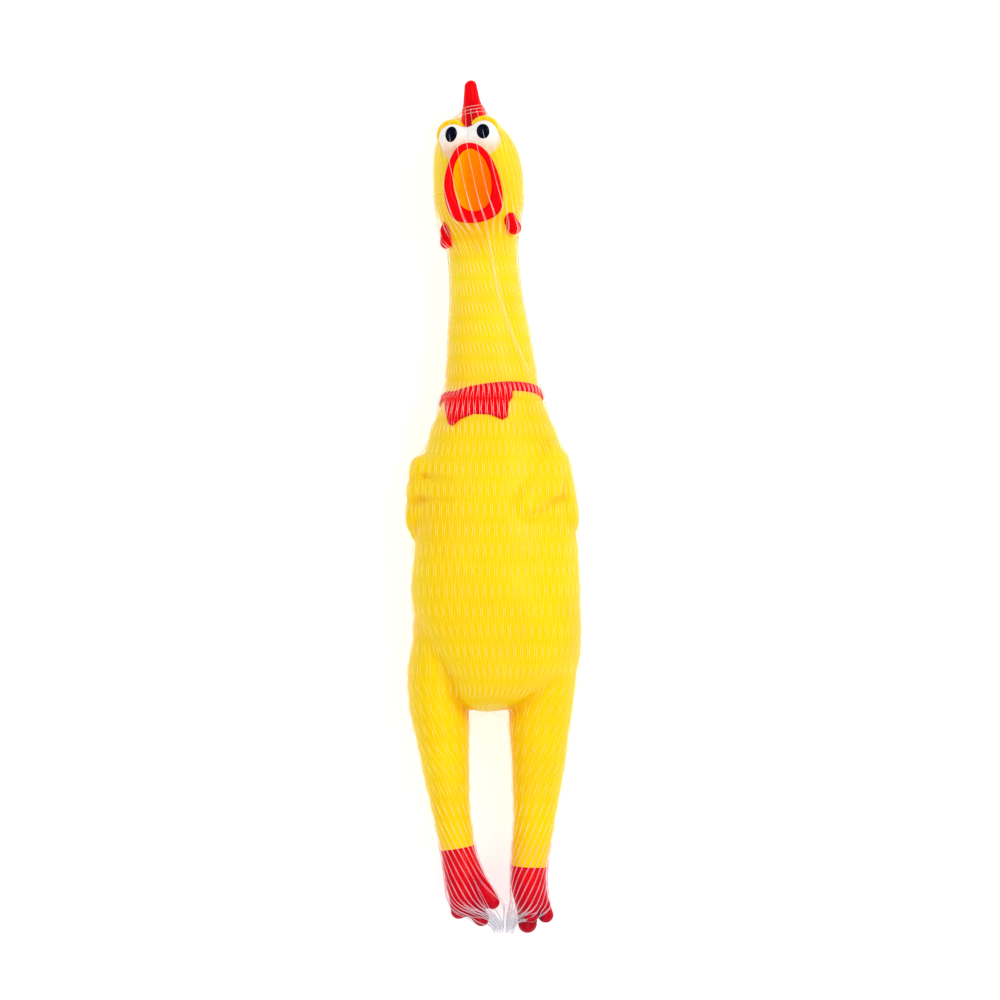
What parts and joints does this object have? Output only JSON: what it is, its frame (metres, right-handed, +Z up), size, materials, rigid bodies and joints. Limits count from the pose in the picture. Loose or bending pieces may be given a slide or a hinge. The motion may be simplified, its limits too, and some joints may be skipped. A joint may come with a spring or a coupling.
{
  "type": "squeaking rubber chicken toy",
  "caption": "Hollow soft vinyl chicken lying on its back, mouth wide open, with long neck, stub wings, spread legs and a reed squeaker in its throat.",
  "frame": {"origin": "middle of the footprint, on the surface the chicken lies on", "axes": "+Y from the feet to the comb, +Z up out of the belly and mouth, +X to the right of a viewer who looks down with the comb at the top"},
  "size_m": [0.0638, 0.3097, 0.045],
  "materials": {
    "yellow_vinyl": "soft satin moulded vinyl",
    "red_paint": "satin red paint on vinyl",
    "foot_red_paint": "satin deep red paint on vinyl",
    "orange_paint": "satin orange paint on vinyl",
    "white_paint": "gloss white paint on vinyl",
    "black_paint": "gloss blue-black paint on vinyl",
    "squeaker_plastic": "natural white moulded polyethylene",
    "reed_block_plastic": "moulded plastic",
    "reed_strip": "thin clear film strip"
  },
  "bodies": {
    "torso": {"torso_skin": "yellow_vinyl", "left_wing": "yellow_vinyl", "right_wing": "yellow_vinyl", "neck_band": "red_paint", "bow": "red_paint", "belly_flex": "yellow_vinyl", "neck_root_flex": "yellow_vinyl", "left_hip_flex": "yellow_vinyl", "right_hip_flex": "yellow_vinyl"},
    "belly": {"belly_skin": "yellow_vinyl"},
    "lower_neck": {"lower_neck_skin": "yellow_vinyl", "neck_middle_flex": "yellow_vinyl"},
    "upper_neck": {"upper_neck_skin": "yellow_vinyl", "neck_top_flex": "yellow_vinyl"},
    "head": {"head_skin": "yellow_vinyl", "comb": "red_paint", "left_wattle": "red_paint", "right_wattle": "red_paint", "lips": "red_paint", "mouth_lining": "orange_paint", "throat_sleeve": "orange_paint", "left_eye": "white_paint", "right_eye": "white_paint", "left_pupil": "black_paint", "right_pupil": "black_paint", "squeaker_tube": "squeaker_plastic", "squeaker_cap": "squeaker_plastic", "reed_block": "reed_block_plastic", "reed_pin": "reed_block_plastic"},
    "reed": {"reed": "reed_strip"},
    "left_thigh": {"left_thigh_skin": "yellow_vinyl", "left_knee_flex": "yellow_vinyl"},
    "left_shank": {"left_shank_skin": "yellow_vinyl", "left_ankle_flex": "yellow_vinyl"},
    "left_foot": {"left_foot": "foot_red_paint"},
    "right_thigh": {"right_thigh_skin": "yellow_vinyl", "right_knee_flex": "yellow_vinyl"},
    "right_shank": {"right_shank_skin": "yellow_vinyl", "right_ankle_flex": "yellow_vinyl"},
    "right_foot": {"right_foot": "foot_red_paint"}
  },
  "joints": [
    {"name": "belly_squeeze", "type": "slide", "parent": "torso", "child": "belly", "axis": [0, 0, -1], "range_m": [0, 0.01], "stiffness_N_per_m": 400, "deforming": ["belly_flex"]},
    {"name": "neck_side_bend", "type": "hinge", "parent": "torso", "child": "lower_neck", "pos_m": [-0.00082, 0.05373, 0.0177], "axis": [0, 0, 1], "range_deg": [-30, 30], "stiffness_Nm_per_rad": 0.2, "deforming": ["neck_root_flex"]},
    {"name": "neck_forward_bend", "type": "hinge", "parent": "lower_neck", "child": "upper_neck", "pos_m": [-0.00212, 0.07273, 0.0165], "axis": [1, 0, 0], "range_deg": [-25, 60], "stiffness_Nm_per_rad": 0.15, "deforming": ["neck_middle_flex"]},
    {"name": "head_turn", "type": "hinge", "parent": "upper_neck", "child": "head", "pos_m": [-0.00362, 0.09173, 0.0162], "axis": [-0.0767, 0.9971, 0], "range_deg": [-40, 40], "stiffness_Nm_per_rad": 0.04, "deforming": ["neck_top_flex"]},
    {"name": "reed_flutter", "type": "hinge", "parent": "head", "child": "reed", "pos_m": [-0.00402, 0.09691, 0.01605], "axis": [0.9971, 0.0767, 0], "range_deg": [-1, 5], "stiffness_Nm_per_rad": 0.0001},
    {"name": "left_hip_spread", "type": "hinge", "parent": "torso", "child": "left_thigh", "pos_m": [-0.01902, -0.07827, 0.014], "axis": [0, 0, 1], "range_deg": [-30, 0], "stiffness_Nm_per_rad": 0.06, "deforming": ["left_hip_flex"]},
    {"name": "left_leg_swing", "type": "hinge", "parent": "left_thigh", "child": "left_shank", "pos_m": [-0.01702, -0.09477, 0.013], "axis": [-1, 0, 0], "range_deg": [0, 60], "stiffness_Nm_per_rad": 0.05, "deforming": ["left_knee_flex"]},
    {"name": "left_ankle_flop", "type": "hinge", "parent": "left_shank", "child": "left_foot", "pos_m": [-0.01372, -0.11927, 0.0122], "axis": [-1, 0, 0], "range_deg": [-15, 40], "stiffness_Nm_per_rad": 0.02, "deforming": ["left_ankle_flex"]},
    {"name": "right_hip_spread", "type": "hinge", "parent": "torso", "child": "right_thigh", "pos_m": [0.01798, -0.07827, 0.014], "axis": [0, 0, 1], "range_deg": [0, 30], "stiffness_Nm_per_rad": 0.06, "deforming": ["right_hip_flex"]},
    {"name": "right_leg_swing", "type": "hinge", "parent": "right_thigh", "child": "right_shank", "pos_m": [0.01658, -0.09477, 0.0132], "axis": [-1, 0, 0], "range_deg": [0, 60], "stiffness_Nm_per_rad": 0.05, "deforming": ["right_knee_flex"]},
    {"name": "right_ankle_flop", "type": "hinge", "parent": "right_shank", "child": "right_foot", "pos_m": [0.01448, -0.11927, 0.0123], "axis": [-1, 0, 0], "range_deg": [-15, 40], "stiffness_Nm_per_rad": 0.02, "deforming": ["right_ankle_flex"]}
  ]
}
